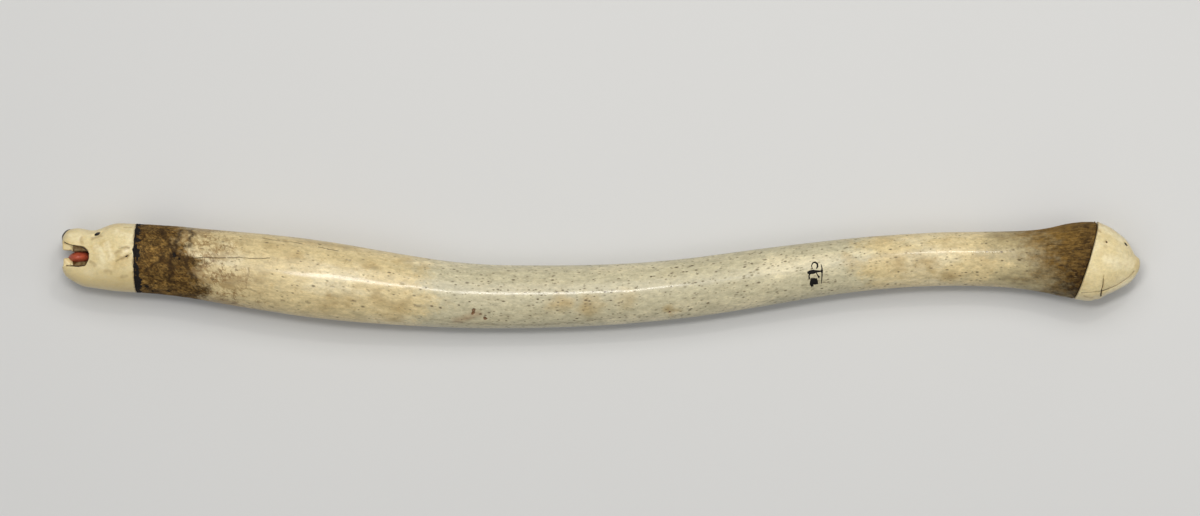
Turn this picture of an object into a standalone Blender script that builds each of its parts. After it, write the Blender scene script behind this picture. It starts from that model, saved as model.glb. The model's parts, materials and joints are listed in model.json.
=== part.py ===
"""Scrimshaw fossil oosik: a walrus bone with a carved ivory animal head on each end.

Sizes are in metres. The bone lies on its side, so its S bend lies flat in the XY plane. +X runs
from the open-mouthed head to the smooth head, +Y is the heads' own up, and +Z is up from the
table. The origin is on the table, under the middle of the whole object.
"""

import math

import bmesh
import bpy
from mathutils import Matrix, Vector
from mathutils.bvhtree import BVHTree

# Driving sizes
BONE_LENGTH = 0.5007         # between the two joint faces, along the middle
BONE_HEIGHT = 0.0418         # tallest section, across the bend
BONE_DEPTH = 0.0340          # thickness of the bone seen from its end, from the table up
BEND = 0.0204                # how far the middle line swings across from the ends to the belly
BEAR_LENGTH = 0.0400         # joint face to muzzle
SEAL_LENGTH = 0.0293         # middle of the joint face to nose
SEAL_JOINT_LEAN = math.radians(16.9)
JOINT_GAP = 0.0003
LIP_GROOVE = 0.0009          # width of the carved mouth line
TOOTH_ROUNDING = 0.0008

# Carved eyes, ears and nose: half sizes along, up and out of the cheek
BEAR_EYE = (0.0020, 0.0008, 0.0008)
BEAR_EAR = (0.0044, 0.0027, 0.0012)
BEAR_EAR_PIT = (0.0012, 0.0008, 0.0009)
BEAR_NOSE = (0.0040, 0.0020, 0.0056)
BEAR_TONGUE = (0.0062, 0.0032, 0.0104)
SEAL_EYE = (0.0016, 0.0009, 0.0008)
SEAL_EAR_HOLE = (0.0010, 0.0009, 0.0009)

# Sections of the bone: share of the length, swing as a share of the bend, height and depth as
# shares of the driving sizes, lift of the underside off the table as a share of the depth (below
# zero where the bone rests and is shaved flat), and lean as a share of the joint's lean.
BONE_SECTIONS = (
    (0.000, 1.000, 0.874, 0.988, 0.018, 0.0),
    (0.040, 0.930, 0.888, 0.994, -0.012, 0.0),
    (0.085, 0.780, 0.926, 1.000, -0.021, 0.0),
    (0.172, 0.514, 1.000, 0.988, 0.018, 0.0),
    (0.256, 0.250, 0.938, 0.941, 0.015, 0.0),
    (0.340, 0.039, 0.835, 0.882, -0.015, 0.0),
    (0.425, 0.000, 0.799, 0.853, -0.021, 0.0),
    (0.540, 0.121, 0.761, 0.829, 0.018, 0.0),
    (0.650, 0.466, 0.742, 0.802, 0.058, 0.0),
    (0.763, 0.843, 0.684, 0.776, 0.082, 0.0),
    (0.847, 0.975, 0.684, 0.776, 0.076, 0.0),
    (0.911, 0.975, 0.708, 0.824, 0.041, 0.1),
    (0.953, 0.946, 0.799, 0.929, -0.009, 0.3),
    (0.977, 0.978, 0.935, 1.012, -0.021, 0.65),
    (1.000, 0.955, 1.024, 1.047, 0.009, 1.0),
)

# Sections of the heads past the joint face: share of the head's length, rise of the middle, height
# and depth as shares of the joint face, lean in degrees, and squareness.
BEAR_SECTIONS = (
    (0.150, 0.011, 0.996, 0.970, 0, 1.02),
    (0.290, 0.028, 0.985, 0.915, 0, 1.03),
    (0.447, -0.008, 0.905, 0.845, 0, 1.03),
    (0.580, -0.028, 0.837, 0.745, 0, 1.06),
    (0.715, 0.017, 0.831, 0.670, 0, 1.09),
    (0.852, 0.094, 0.768, 0.625, 0, 1.12),
    (0.945, 0.105, 0.635, 0.560, 0, 1.14),
    (0.998, 0.135, 0.470, 0.440, 0, 1.12),
)
SEAL_SECTIONS = (
    (0.242, -0.072, 0.957, 0.955, 9.1, 1.02),
    (0.423, -0.060, 0.838, 0.865, 6.8, 1.03),
    (0.567, -0.084, 0.716, 0.745, 7.1, 1.03),
    (0.693, -0.108, 0.598, 0.610, 6.8, 1.02),
    (0.812, -0.152, 0.428, 0.460, 4.0, 1.02),
    (0.918, -0.138, 0.238, 0.300, 0.0, 1.04),
    (0.990, -0.070, 0.122, 0.165, 0.0, 1.04),
)

# Outline of the open mouth, as shares of the head's length from the joint and of the joint's half
# height from its middle. Fillings inside it give both ranges and a half width as a share.
MOUTH_OUTLINE = (
    (1.10, 0.475), (0.97, 0.450), (0.83, 0.380), (0.685, 0.345), (0.622, 0.230),
    (0.605, 0.000), (0.648, -0.190), (0.785, -0.235), (1.10, -0.240),
)
PALATE = ((0.57, 0.850), (0.195, 0.47), 0.535)
LOWER_GUM = ((0.58, 0.860), (-0.31, -0.100), 0.520)
UPPER_TEETH = ((0.830, 0.975), (0.225, 0.49), 0.445)
LOWER_TEETH = ((0.835, 0.965), (-0.29, 0.010), 0.425)

# Carved details, placed by the same two shares of each head
BEAR_TONGUE_PLACE = (0.750, 0.025)
BEAR_TONGUE_TILT = math.radians(-4)
BEAR_EYE_PLACE = (0.512, 0.680)
BEAR_EYE_TILT = math.radians(22)
BEAR_EAR_PLACE = (0.150, 0.150)
BEAR_EAR_TILT = math.radians(35)
BEAR_EAR_PIT_PLACE = (0.098, 0.045)
BEAR_NOSE_PLACE = (0.925, 0.668)
BEAR_NOSE_TILT = math.radians(51)
SEAL_EYE_PLACE = (0.706, 0.405)
SEAL_EYE_TILT = math.radians(-40)
SEAL_EAR_PLACE = (0.332, 0.452)
SEAL_MOUTH_LINE = ((0.865, -0.270), (0.700, -0.480), (0.500, -0.655), (0.370, -0.740), (0.250, -0.780))

CAGE_SIDES = 8
SMOOTHING = 2                # subdivision levels on every cage
SWELL_SEGMENTS = 16          # round a nose, an ear or a tongue
PIT_SEGMENTS = 10            # round an eye or an ear hole
GROOVE_STEPS = 3             # points on each stretch of a carved line

parts = bpy.data.collections.new("scrimshaw_fossil_oosik")
cutters = bpy.data.collections.new("cutters")


def clear_scene():
    for old in list(bpy.data.objects):
        bpy.data.objects.remove(old, do_unlink=True)
    bpy.context.scene.collection.children.link(parts)
    bpy.context.scene.collection.children.link(cutters)


def plain_material(name, colour, roughness):
    material = bpy.data.materials.new(name)
    material.use_nodes = True
    shader = material.node_tree.nodes["Principled BSDF"]
    shader.inputs["Base Color"].default_value = (*colour, 1.0)
    shader.inputs["Roughness"].default_value = roughness
    shader.inputs["Metallic"].default_value = 0.0
    material.diffuse_color = (*colour, 1.0)
    return material


# Sections

class Section:
    """An oval slice of the bone or of a head, leaning in the XY plane."""

    def __init__(self, centre, half_height, half_depth, lean=0.0, squareness=1.0):
        self.centre = Vector(centre)
        self.half_height = half_height
        self.half_depth = half_depth
        self.lean = lean
        self.squareness = squareness

    def cage_ring(self):
        """Cage points whose smoothed outline has the section's height and depth."""
        corner = math.cos(math.tau / CAGE_SIDES)
        spread = 6 / (4 + 2 * self.squareness * corner)
        up = Vector((math.sin(self.lean), math.cos(self.lean), 0))
        out = Vector((0, 0, 1))
        ring = []
        for step in range(CAGE_SIDES):
            angle = math.tau * step / CAGE_SIDES
            reach = spread * (self.squareness if step % 2 else 1.0)
            offset = up * math.cos(angle) * self.half_height + out * math.sin(angle) * self.half_depth
            ring.append(self.centre + offset * reach)
        return ring


def bone_section(row):
    along, swing, height, depth, lift, lean = row
    half_depth = BONE_DEPTH * depth / 2
    centre = (BONE_LENGTH * along, BEND * swing, half_depth + BONE_DEPTH * lift)
    return Section(centre, BONE_HEIGHT * height / 2, half_depth, SEAL_JOINT_LEAN * lean)


def pass_through(rings):
    """Push the cage out between its ends, so that the smoothed surface meets every section."""
    cage = [list(ring) for ring in rings]
    for _ in range(4):
        for index in range(1, len(rings) - 1):
            for corner, target in enumerate(rings[index]):
                before = cage[index - 1][corner]
                after = cage[index + 1][corner]
                smoothed = (before + 4 * cage[index][corner] + after) / 6
                cage[index][corner] = cage[index][corner] + target - smoothed
    return cage


def loft(name, sections, material, flat_ends):
    """A closed cage through the sections, smoothed, with the named ends kept flat and sharp."""
    cage = pass_through([section.cage_ring() for section in sections])
    mesh = bpy.data.meshes.new(name)
    work = bmesh.new()
    rings = [[work.verts.new(point) for point in ring] for ring in cage]
    for ring, following in zip(rings, rings[1:]):
        for corner in range(CAGE_SIDES):
            beside = (corner + 1) % CAGE_SIDES
            work.faces.new((ring[corner], following[corner], following[beside], ring[beside]))
    work.faces.new(rings[0])
    work.faces.new(reversed(rings[-1]))
    bmesh.ops.recalc_face_normals(work, faces=work.faces)
    crease = work.edges.layers.float.new("crease_edge")
    for end in flat_ends:
        ring = rings[end]
        for corner in range(CAGE_SIDES):
            work.edges.get((ring[corner], ring[(corner + 1) % CAGE_SIDES]))[crease] = 1.0
    work.to_mesh(mesh)
    work.free()
    mesh.materials.append(material)
    mesh.shade_smooth()
    piece = bpy.data.objects.new(name, mesh)
    parts.objects.link(piece)
    smoothing = piece.modifiers.new("smoothing", "SUBSURF")
    smoothing.levels = SMOOTHING
    smoothing.render_levels = SMOOTHING
    smoothing.boundary_smooth = "PRESERVE_CORNERS"
    return piece


# Carving tools

def as_tool(tool, name):
    """Names a tool, and keeps it out of the finished object."""
    tool.name = name
    for collection in list(tool.users_collection):
        collection.objects.unlink(tool)
    cutters.objects.link(tool)
    tool.hide_render = True
    tool.display_type = "WIRE"
    return tool


def apply_tool(piece, tool, operation):
    boolean = piece.modifiers.new(tool.name, "BOOLEAN")
    boolean.operation = operation
    boolean.solver = "EXACT"
    boolean.object = tool


def oval(name, centre, half_sizes, turn, segments):
    """A small rounded tool, turned in the XY plane."""
    bpy.ops.mesh.primitive_uv_sphere_add(segments=segments, ring_count=segments // 2, radius=1)
    tool = bpy.context.object
    place = Matrix.Translation(centre) @ Matrix.Rotation(turn, 4, "Z") @ Matrix.Diagonal((*half_sizes, 1))
    tool.data.transform(place)
    tool.data.shade_smooth()
    return as_tool(tool, name)


def block(name, low, high, rounding):
    """A box between two corners, with rounded edges."""
    bpy.ops.mesh.primitive_cube_add(size=1)
    tool = bpy.context.object
    middle = (low + high) / 2
    tool.data.transform(Matrix.Translation(middle) @ Matrix.Diagonal((*(high - low), 1)))
    if rounding:
        bevel = tool.modifiers.new("rounding", "BEVEL")
        bevel.width = rounding
        bevel.segments = 2
    return as_tool(tool, name)


def prism(name, outline, depth_range):
    """An outline in the XY plane, extruded from the lower to the upper depth."""
    low, high = depth_range
    mesh = bpy.data.meshes.new(name)
    work = bmesh.new()
    face = work.faces.new([work.verts.new((x, y, low)) for x, y in outline])
    walls = bmesh.ops.extrude_face_region(work, geom=[face])
    top = [item for item in walls["geom"] if isinstance(item, bmesh.types.BMVert)]
    bmesh.ops.translate(work, verts=top, vec=(0, 0, high - low))
    bmesh.ops.recalc_face_normals(work, faces=work.faces)
    work.to_mesh(mesh)
    work.free()
    tool = bpy.data.objects.new(name, mesh)
    bpy.context.scene.collection.objects.link(tool)
    return as_tool(tool, name)


def tube(name, points, width):
    """A round cutter along the points, made a closed mesh."""
    data = bpy.data.curves.new(name, "CURVE")
    data.dimensions = "3D"
    data.bevel_depth = width / 2
    data.bevel_resolution = 1
    data.use_fill_caps = True
    spline = data.splines.new("POLY")
    spline.points.add(len(points) - 1)
    for target, point in zip(spline.points, points):
        target.co = (*point, 1)
    guide = bpy.data.objects.new(name + "_guide", data)
    bpy.context.scene.collection.objects.link(guide)
    view = bpy.context.evaluated_depsgraph_get()
    mesh = bpy.data.meshes.new_from_object(guide.evaluated_get(view))
    work = bmesh.new()
    work.from_mesh(mesh)
    bmesh.ops.remove_doubles(work, verts=work.verts, dist=0.00001)
    bmesh.ops.recalc_face_normals(work, faces=work.faces)
    work.to_mesh(mesh)
    work.free()
    tool = bpy.data.objects.new(name, mesh)
    tool.matrix_world = guide.matrix_world
    bpy.context.scene.collection.objects.link(tool)
    bpy.data.objects.remove(guide, do_unlink=True)
    return as_tool(tool, name)


def finish_normals(piece):
    """Weighs the shading by face size, so that cut edges look crisp and swells look smooth."""
    normals = piece.modifiers.new("normals", "WEIGHTED_NORMAL")
    normals.keep_sharp = True


class Head:
    """A carved head on one of the bone's joint faces, measured from that face."""

    def __init__(self, name, face, length, direction, rows, material):
        self.name = name
        self.face = face
        self.length = length
        self.direction = direction
        gap = Vector((math.cos(face.lean), -math.sin(face.lean), 0)) * direction * JOINT_GAP
        sections = [Section(face.centre + gap, face.half_height, face.half_depth, face.lean)]
        for along, rise, height, depth, lean, squareness in rows:
            centre = self.place(along, rise, 0)
            sections.append(Section(centre, face.half_height * height, face.half_depth * depth,
                                    math.radians(lean), squareness))
        self.piece = loft(name, sections, material, flat_ends=(0,))
        self.surface = BVHTree.FromObject(self.piece, bpy.context.evaluated_depsgraph_get())

    def place(self, along, rise, out):
        """The point at these shares of the head's length, half height and half depth."""
        x = self.face.centre.x + self.direction * self.length * along
        y = self.face.centre.y + self.face.half_height * rise
        z = self.face.centre.z + self.face.half_depth * out
        return Vector((x, y, z))

    def on_cheek(self, along, rise, side):
        """The point of the smooth head's surface at these shares, on one cheek."""
        far = self.place(along, rise, 2 * side)
        hit = self.surface.ray_cast(far, Vector((0, 0, -side)))[0]
        return hit if hit else self.place(along, rise, 0)

    def fuse(self, tool):
        apply_tool(self.piece, tool, "UNION")

    def carve(self, tool):
        apply_tool(self.piece, tool, "DIFFERENCE")

    def filling(self, name, shares):
        """A block inside the mouth, the same on both sides of the head's middle."""
        (back, front), (floor, roof), half_width = shares
        corner = self.place(back, floor, -half_width)
        opposite = self.place(front, roof, half_width)
        low = Vector(map(min, corner, opposite))
        high = Vector(map(max, corner, opposite))
        self.fuse(block(name, low, high, TOOTH_ROUNDING))

    def groove(self, name, line, side, width):
        """A shallow carved line that follows the cheek."""
        points = []
        for start, end in zip(line, line[1:]):
            for step in range(GROOVE_STEPS):
                share = step / GROOVE_STEPS
                along, rise = (a + (b - a) * share for a, b in zip(start, end))
                points.append(self.on_cheek(along, rise, side))
        points.append(self.on_cheek(*line[-1], side))
        self.carve(tube(name, points, width))

    def finish(self):
        finish_normals(self.piece)


# The bone

def make_bone(material):
    sections = [bone_section(row) for row in BONE_SECTIONS]
    bone = loft("fossil_oosik_shaft", sections, material, flat_ends=(0, -1))
    low = Vector((-BONE_LENGTH * 0.1, -BEND - BONE_HEIGHT, -BONE_DEPTH / 2))
    high = Vector((BONE_LENGTH * 1.1, 2 * BEND + BONE_HEIGHT, 0))
    apply_tool(bone, block("table_plane", low, high, 0), "DIFFERENCE")
    finish_normals(bone)
    return sections[0], sections[-1]


# The open-mouthed bear head

def make_bear(face, material):
    head = Head("bear_head", face, BEAR_LENGTH, -1, BEAR_SECTIONS, material)
    nose = head.place(*BEAR_NOSE_PLACE, 0)
    head.fuse(oval("nose_pad", nose, BEAR_NOSE, BEAR_NOSE_TILT, SWELL_SEGMENTS))
    reach = face.half_depth * 1.2
    outline = [head.place(along, rise, 0).xy for along, rise in MOUTH_OUTLINE]
    head.carve(prism("mouth_opening", outline, (face.centre.z - reach, face.centre.z + reach)))
    head.filling("palate", PALATE)
    head.filling("lower_gum", LOWER_GUM)
    head.filling("upper_teeth", UPPER_TEETH)
    head.filling("lower_teeth", LOWER_TEETH)
    tongue = head.place(*BEAR_TONGUE_PLACE, 0)
    head.fuse(oval("tongue", tongue, BEAR_TONGUE, BEAR_TONGUE_TILT, SWELL_SEGMENTS))
    for side, hand in ((1, "left"), (-1, "right")):
        ear = head.on_cheek(*BEAR_EAR_PLACE, side)
        ear.z -= side * BEAR_EAR[2] * 0.6
        head.fuse(oval(f"bear_ear_{hand}", ear, BEAR_EAR, BEAR_EAR_TILT, SWELL_SEGMENTS))
        pit = head.on_cheek(*BEAR_EAR_PIT_PLACE, side)
        head.carve(oval(f"bear_ear_pit_{hand}", pit, BEAR_EAR_PIT, BEAR_EAR_TILT, PIT_SEGMENTS))
        eye = head.on_cheek(*BEAR_EYE_PLACE, side)
        head.carve(oval(f"bear_eye_{hand}", eye, BEAR_EYE, BEAR_EYE_TILT, PIT_SEGMENTS))
    head.finish()


# The smooth seal head

def make_seal(face, material):
    head = Head("seal_head", face, SEAL_LENGTH, 1, SEAL_SECTIONS, material)
    for side, hand in ((1, "left"), (-1, "right")):
        eye = head.on_cheek(*SEAL_EYE_PLACE, side)
        head.carve(oval(f"seal_eye_{hand}", eye, SEAL_EYE, SEAL_EYE_TILT, PIT_SEGMENTS))
        ear = head.on_cheek(*SEAL_EAR_PLACE, side)
        head.carve(oval(f"seal_ear_{hand}", ear, SEAL_EAR_HOLE, 0, PIT_SEGMENTS))
        head.groove(f"seal_mouth_{hand}", SEAL_MOUTH_LINE, side, LIP_GROOVE)
    head.finish()


def centre_on_table():
    """Brings the middle of the whole object over the origin, pieces and tools together."""
    frame = bpy.data.objects.new("oosik_frame", None)
    bpy.context.scene.collection.objects.link(frame)
    view = bpy.context.evaluated_depsgraph_get()
    corners = []
    for piece in parts.objects:
        finished = piece.evaluated_get(view)
        corners += [finished.matrix_world @ Vector(corner) for corner in finished.bound_box]
    for item in list(parts.objects) + list(cutters.objects):
        item.parent = frame
    for axis in (0, 1):
        values = [corner[axis] for corner in corners]
        frame.location[axis] = -(min(values) + max(values)) / 2


def main():
    clear_scene()
    bone_finish = plain_material("fossil_bone", (0.546, 0.497, 0.337), 0.38)
    bear_finish = plain_material("bear_ivory", (0.680, 0.558, 0.314), 0.34)
    seal_finish = plain_material("seal_ivory", (0.690, 0.570, 0.330), 0.34)
    bear_face, seal_face = make_bone(bone_finish)
    make_bear(bear_face, bear_finish)
    make_seal(seal_face, seal_finish)
    centre_on_table()


main()
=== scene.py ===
"""The looks of a scrimshaw fossil oosik: a polished fossil bone with a carved ivory head on each end."""

import json
import math
from contextlib import contextmanager

import bpy
import numpy as np
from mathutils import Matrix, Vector, noise
from mathutils.bvhtree import BVHTree

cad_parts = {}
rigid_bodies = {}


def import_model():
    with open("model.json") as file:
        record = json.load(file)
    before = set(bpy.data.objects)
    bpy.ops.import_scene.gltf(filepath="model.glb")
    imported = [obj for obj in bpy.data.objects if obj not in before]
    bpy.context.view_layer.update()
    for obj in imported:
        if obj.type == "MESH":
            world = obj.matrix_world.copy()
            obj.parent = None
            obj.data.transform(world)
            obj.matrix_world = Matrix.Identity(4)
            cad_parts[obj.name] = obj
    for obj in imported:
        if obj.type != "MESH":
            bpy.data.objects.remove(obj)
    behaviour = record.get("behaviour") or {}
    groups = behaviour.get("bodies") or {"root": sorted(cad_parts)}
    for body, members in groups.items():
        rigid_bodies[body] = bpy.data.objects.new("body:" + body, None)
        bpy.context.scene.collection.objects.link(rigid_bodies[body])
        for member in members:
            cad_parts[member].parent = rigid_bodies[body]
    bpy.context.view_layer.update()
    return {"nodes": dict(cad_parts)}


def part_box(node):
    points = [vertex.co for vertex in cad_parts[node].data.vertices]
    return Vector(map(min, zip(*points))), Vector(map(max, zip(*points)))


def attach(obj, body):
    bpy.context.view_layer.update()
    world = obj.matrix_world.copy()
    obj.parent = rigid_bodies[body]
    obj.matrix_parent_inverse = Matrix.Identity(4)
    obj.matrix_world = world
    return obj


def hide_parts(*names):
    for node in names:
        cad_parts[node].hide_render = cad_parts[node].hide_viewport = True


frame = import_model()

# The photograph's view: straight down on the lying bone
PHOTO_WIDTH = 1200
VIEW_CENTRE = (600.0, 258.0)         # pixel under the camera
BONE_CENTRE_PIXEL = (601.0, 275.1)   # pixel of the frame's origin
PIXEL = 0.0005288                    # metres for each pixel at the bone's middle height
MIDDLE_HEIGHT = 0.017
CAMERA_DISTANCE = 2.05
SENSOR = 36.0

# Finishes, in linear colour
LIGHT_CREAM = (0.735, 0.645, 0.420)
CREAM = (0.615, 0.495, 0.262)
GREY_CREAM = (0.505, 0.457, 0.300)
GREY_STAIN = (0.400, 0.355, 0.220)
WARM_TAN = (0.430, 0.320, 0.148)
SPECK_TAN = (0.360, 0.235, 0.090)
NECK_TAN = (0.400, 0.310, 0.135)
FADED_BROWN = (0.310, 0.210, 0.085)
WEB_BROWN = (0.210, 0.115, 0.032)
LEFT_BROWNS = ((0.190, 0.110, 0.029), (0.080, 0.041, 0.009))    # light and dark
RIGHT_BROWNS = ((0.028, 0.013, 0.003), (0.205, 0.116, 0.026))   # dark and light
FLECK_TAN = (0.36, 0.24, 0.09)
VEIN_BROWN = (0.022, 0.010, 0.003)
PORE_BROWN = (0.105, 0.075, 0.035)
RUST = (0.27, 0.105, 0.030)
PIT_RUST = (0.140, 0.055, 0.015)
CRACK_BROWN = (0.070, 0.040, 0.015)
IVORY = (0.710, 0.590, 0.320)
# paler ivory, also used for painted highlights
PALE_IVORY_AND_HIGHLIGHT = (0.840, 0.745, 0.490)
IVORY_TAN = (0.595, 0.450, 0.200)
IVORY_STAIN = (0.30, 0.195, 0.080)
# dirt, also used as painted shade in carved lines and hollows
DIRT_AND_SHADE = (0.125, 0.070, 0.026)
# painted shade inside the open mouth
MOUTH_SHADE_BROWN = (0.080, 0.038, 0.010)
EAR_PIT_SHADE_BROWN = (0.035, 0.020, 0.010)
LIP_BROWN = (0.030, 0.017, 0.009)
HOLE_SHADE_AND_CRACK_BROWN = (0.050, 0.026, 0.010)
INK = (0.010, 0.008, 0.007)
FIGURE_INK = (0.004, 0.0035, 0.003)
PITCH = (0.008, 0.006, 0.005)
TONGUE_RED = (0.440, 0.085, 0.036)
TONGUE_SHADE = (0.33, 0.055, 0.026)
STAGE_PALE = (0.62, 0.62, 0.61)
STAGE_SHADE = (0.5, 0.5, 0.5)


def place_of(pixel, height):
    """The place at a height above the table that answers to a pixel, seen from straight above."""
    across = (pixel[0] - BONE_CENTRE_PIXEL[0]) * PIXEL
    up = (BONE_CENTRE_PIXEL[1] - pixel[1]) * PIXEL
    return Vector((across, up, height))


CAMERA_PLACE = place_of(VIEW_CENTRE, MIDDLE_HEIGHT + CAMERA_DISTANCE)


def new_object(name, data):
    piece = bpy.data.objects.new(name, data)
    bpy.context.scene.collection.objects.link(piece)
    return piece


def add_camera():
    data = bpy.data.cameras.new("photo_view")
    data.sensor_width = SENSOR
    data.lens = SENSOR * CAMERA_DISTANCE / (PHOTO_WIDTH * PIXEL)
    camera = new_object("photo_view", data)
    camera.location = CAMERA_PLACE
    bpy.context.scene.camera = camera


def seen_at(surface, pixel):
    """The point of a surface that the photograph shows at a pixel, and its normal.

    A pixel just past the outline gives the nearest point of the surface.
    """
    across = (pixel[0] - VIEW_CENTRE[0]) * PIXEL
    up = (VIEW_CENTRE[1] - pixel[1]) * PIXEL
    towards = Vector((across, up, -CAMERA_DISTANCE)).normalized()
    place, normal, _, _ = surface.ray_cast(CAMERA_PLACE, towards)
    if place is None:
        beside = CAMERA_PLACE + towards * (CAMERA_DISTANCE / -towards.z)
        place, normal, _, _ = surface.find_nearest(beside)
    return place, normal


def pixels_of(places):
    """The photograph's pixel of every place."""
    spread = CAMERA_DISTANCE / (CAMERA_PLACE.z - places[:, 2]) / PIXEL
    across = VIEW_CENTRE[0] + (places[:, 0] - CAMERA_PLACE.x) * spread
    down = VIEW_CENTRE[1] - (places[:, 1] - CAMERA_PLACE.y) * spread
    return np.stack([across, down], axis=1)


def inside_outline(pixels, outline):
    """Which pixels lie inside a closed outline, as 0 or 1."""
    inside = np.zeros(len(pixels), dtype=bool)
    for (x0, y0), (x1, y1) in zip(outline, outline[1:] + outline[:1]):
        crosses = (pixels[:, 1] > y0) != (pixels[:, 1] > y1)
        reach = x0 + (pixels[:, 1] - y0) * (x1 - x0) / (y1 - y0 + 1e-9)
        inside ^= crosses & (pixels[:, 0] < reach)
    return inside.astype(float)


# Shader boards

class Board:
    """A node tree with short calls for the nodes that the finishes use."""

    def __init__(self, tree):
        self.tree = tree

    def add(self, kind, **settings):
        node = self.tree.nodes.new(kind)
        for name, value in settings.items():
            setattr(node, name, value)
        return node

    def feed(self, socket, value):
        if isinstance(value, bpy.types.NodeSocket):
            self.tree.links.new(value, socket)
        elif socket.type == "RGBA" and len(value) == 3:
            socket.default_value = (*value, 1.0)
        else:
            socket.default_value = value

    def fill(self, node, **values):
        """Feeds a node's inputs by name, with _ written for a space, and gives its outputs."""
        for name, value in values.items():
            self.feed(node.inputs[name.replace("_", " ")], value)
        return node.outputs

    def math(self, operation, *values, clamp=False):
        node = self.add("ShaderNodeMath", operation=operation, use_clamp=clamp)
        for socket, value in zip(node.inputs, values):
            self.feed(socket, value)
        return node.outputs[0]

    def times(self, first, second, plus=None):
        """A product, with a third value added where one is given."""
        if plus is None:
            return self.math("MULTIPLY", first, second)
        return self.math("MULTIPLY_ADD", first, second, plus)

    def plus(self, first, second, clamp=False):
        return self.math("ADD", first, second, clamp=clamp)

    def minus(self, first, second, clamp=False):
        return self.math("SUBTRACT", first, second, clamp=clamp)

    def highest(self, first, *others):
        for mask in others:
            first = self.math("MAXIMUM", first, mask)
        return first

    def vector(self, operation, first, second):
        node = self.add("ShaderNodeVectorMath", operation=operation)
        self.feed(node.inputs[0], first)
        self.feed(node.inputs[1], second)
        return node.outputs[0]

    def split(self, vector):
        node = self.add("ShaderNodeSeparateXYZ")
        self.feed(node.inputs[0], vector)
        return node.outputs

    def drawn_out(self, place, share, operation="DIVIDE"):
        """The place with its X squeezed, for a pattern that is drawn out along the piece."""
        x, y, z = self.split(place)
        return self.fill(self.add("ShaderNodeCombineXYZ"), X=self.math(operation, x, share), Y=y, Z=z)[0]

    def noise(self, vector, scale, detail=4.0, roughness=0.55, distortion=0.0, output="Fac"):
        node = self.add("ShaderNodeTexNoise")
        outputs = self.fill(node, Vector=vector, Scale=scale, Detail=detail, Roughness=roughness,
                            Distortion=distortion)
        return outputs[output]

    def cells(self, vector, scale, feature="F1"):
        return self.fill(self.add("ShaderNodeTexVoronoi", feature=feature), Vector=vector, Scale=scale)

    def between(self, value, low, high, to_low=0.0, to_high=1.0):
        """A soft step of a value from low to high."""
        node = self.add("ShaderNodeMapRange", interpolation_type="SMOOTHSTEP")
        return self.fill(node, Value=value, From_Min=low, From_Max=high, To_Min=to_low, To_Max=to_high)[0]

    def until(self, value, low, high):
        """A soft step down, from 1 at low to 0 at high."""
        return self.between(value, low, high, 1.0, 0.0)

    def span(self, value, start, end):
        """A mask that rises over the two values of its start and falls over those of its end."""
        return self.times(self.between(value, *start), self.until(value, *end))

    def blend(self, amount, first, second, how="MIX"):
        node = self.add("ShaderNodeMix", data_type="RGBA", blend_type=how, clamp_factor=True)
        for index, value in ((0, amount), (6, first), (7, second)):
            self.feed(node.inputs[index], value)
        return node.outputs[2]

    def coated(self, body, *coats):
        """The body under coats of colour, each given as its mask, its share and its colour."""
        for mask, share, colour in coats:
            body = self.blend(self.times(mask, share), body, colour)
        return body

    def shaded(self, body, value):
        """The colour multiplied by a grey value."""
        grey = self.fill(self.add("ShaderNodeCombineColor"), Red=value, Green=value, Blue=value)
        return self.blend(1.0, body, grey[0], "MULTIPLY")

    def bump(self, height, distance, strength, **normal):
        return self.fill(self.add("ShaderNodeBump"), Height=height, Distance=distance, Strength=strength,
                         **normal)[0]

    def group(self, kind, **values):
        return self.fill(self.add("ShaderNodeGroup", node_tree=groups[kind]), **values)

    def marks(self, *labels):
        """The strengths of the marks stored on the mesh, by their names."""
        return {label: self.add("ShaderNodeAttribute", attribute_name=label).outputs["Fac"]
                for label in labels}


groups = {}


def new_group(name, masks, **values):
    """A node group that takes a Place and named values and puts out masks: its board and both ends."""
    tree = bpy.data.node_groups.new(name, "ShaderNodeTree")
    tree.interface.new_socket("Place", in_out="INPUT", socket_type="NodeSocketVector")
    for label, value in values.items():
        socket = tree.interface.new_socket(label, in_out="INPUT", socket_type="NodeSocketFloat")
        socket.default_value = value
    for label in masks:
        tree.interface.new_socket(label, in_out="OUTPUT", socket_type="NodeSocketFloat")
    board = Board(tree)
    return board, board.add("NodeGroupInput").outputs, board.add("NodeGroupOutput").inputs


def pore_group():
    """Elongated pores of random size along the bone, as a mask."""
    board, start, end = new_group("pore_field", ("Mask",), Spacing=0.002, Stretch=2.5, Size=0.3, Share=0.5)
    place = board.drawn_out(start["Place"], start["Stretch"])
    cells = board.cells(place, board.math("DIVIDE", 1.0, start["Spacing"]))
    red, green, blue = board.split(cells["Color"])
    kept = board.math("LESS_THAN", red, start["Share"])
    size = board.times(start["Size"], board.times(green, 0.75, 0.25))
    hole = board.until(cells["Distance"], board.times(size, 0.30), size)
    filled = board.times(kept, board.times(blue, 0.50, 0.50))
    board.feed(end["Mask"], board.times(hole, filled))
    return board.tree


def mottle_group():
    """Cloudy variation in two sizes, drawn out along the piece, around zero."""
    board, start, end = new_group("mottle", ("Broad", "Small"), Coarse=0.015, Fine=0.002, Stretch=2.0)
    place = board.drawn_out(start["Place"], start["Stretch"])
    for label, size in (("Broad", start["Coarse"]), ("Small", start["Fine"])):
        tone = board.noise(place, board.math("DIVIDE", 1.0, size), 5.0, 0.6)
        board.feed(end[label], board.minus(tone, 0.5))
    return board.tree


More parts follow.
